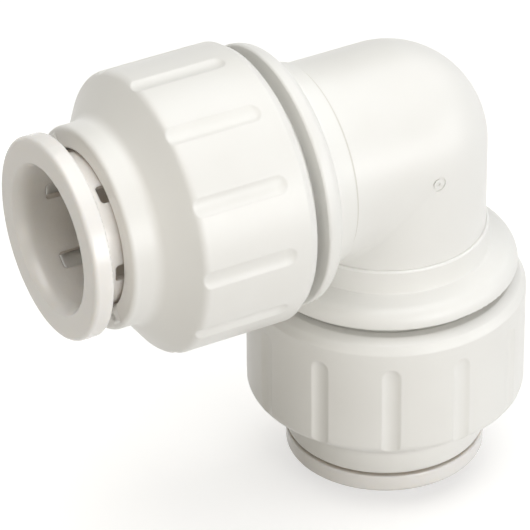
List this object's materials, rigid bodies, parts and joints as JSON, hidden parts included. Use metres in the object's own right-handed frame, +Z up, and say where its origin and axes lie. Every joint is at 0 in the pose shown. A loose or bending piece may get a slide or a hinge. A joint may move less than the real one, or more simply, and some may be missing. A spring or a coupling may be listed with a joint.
{
  "type": "push-fit pipe elbow",
  "caption": "Right-angle push-fit elbow for plastic or copper pipe, with a twist-lock screw cap and a sliding release collet on each port.",
  "frame": {"origin": "middle of the lower collet's end face, with that collet pushed home", "axes": "+Z up along the lower port's axis, towards the bend; the side port points along -X; +Y completes the right-handed set"},
  "size_m": [0.057, 0.0312, 0.0549],
  "materials": {
    "white_plastic": "satin gloss, moulded",
    "collet_plastic": "satin, moulded acetal",
    "spacer_plastic": "matte, moulded",
    "seal_rubber": "matte",
    "tooth_steel": "pressed stainless strip"
  },
  "bodies": {
    "elbow": {"elbow_body": "white_plastic", "lower_o_ring": "seal_rubber", "side_o_ring": "seal_rubber"},
    "lower_spacer_ring": {"lower_spacer": "spacer_plastic"},
    "lower_screw_cap": {"lower_cap": "white_plastic"},
    "lower_collet_set": {"lower_collet": "collet_plastic", "lower_tooth_1": "tooth_steel", "lower_tooth_2": "tooth_steel", "lower_tooth_3": "tooth_steel", "lower_tooth_4": "tooth_steel", "lower_tooth_5": "tooth_steel", "lower_tooth_6": "tooth_steel"},
    "side_spacer_ring": {"side_spacer": "spacer_plastic"},
    "side_screw_cap": {"side_cap": "white_plastic"},
    "side_collet_set": {"side_collet": "collet_plastic", "side_tooth_1": "tooth_steel", "side_tooth_2": "tooth_steel", "side_tooth_3": "tooth_steel", "side_tooth_4": "tooth_steel", "side_tooth_5": "tooth_steel", "side_tooth_6": "tooth_steel"}
  },
  "joints": [
    {"name": "lower_cap_advance", "type": "slide", "parent": "elbow", "child": "lower_spacer_ring", "axis": [0, 0, 1], "range_m": [0, 0.00115]},
    {"name": "lower_cap_turn", "type": "hinge", "parent": "lower_spacer_ring", "child": "lower_screw_cap", "pos_m": [0, 0, 0.03935], "axis": [0, 0, 1], "range_deg": [0, 90]},
    {"name": "lower_collet_slide", "type": "slide", "parent": "lower_screw_cap", "child": "lower_collet_set", "axis": [0, 0, 1], "range_m": [-0.00205, 0]},
    {"name": "side_cap_advance", "type": "slide", "parent": "elbow", "child": "side_spacer_ring", "axis": [1, 0, 0], "range_m": [0, 0.00115]},
    {"name": "side_cap_turn", "type": "hinge", "parent": "side_spacer_ring", "child": "side_screw_cap", "pos_m": [0, 0, 0.03935], "axis": [1, 0, 0], "range_deg": [0, 90]},
    {"name": "side_collet_slide", "type": "slide", "parent": "side_screw_cap", "child": "side_collet_set", "axis": [1, 0, 0], "range_m": [0, 0.00205]}
  ],
  "couplings": [
    {"joint": "lower_cap_turn", "follows": "lower_cap_advance", "rad_per_m": 1365.9},
    {"joint": "side_cap_turn", "follows": "side_cap_advance", "rad_per_m": 1365.9}
  ]
}
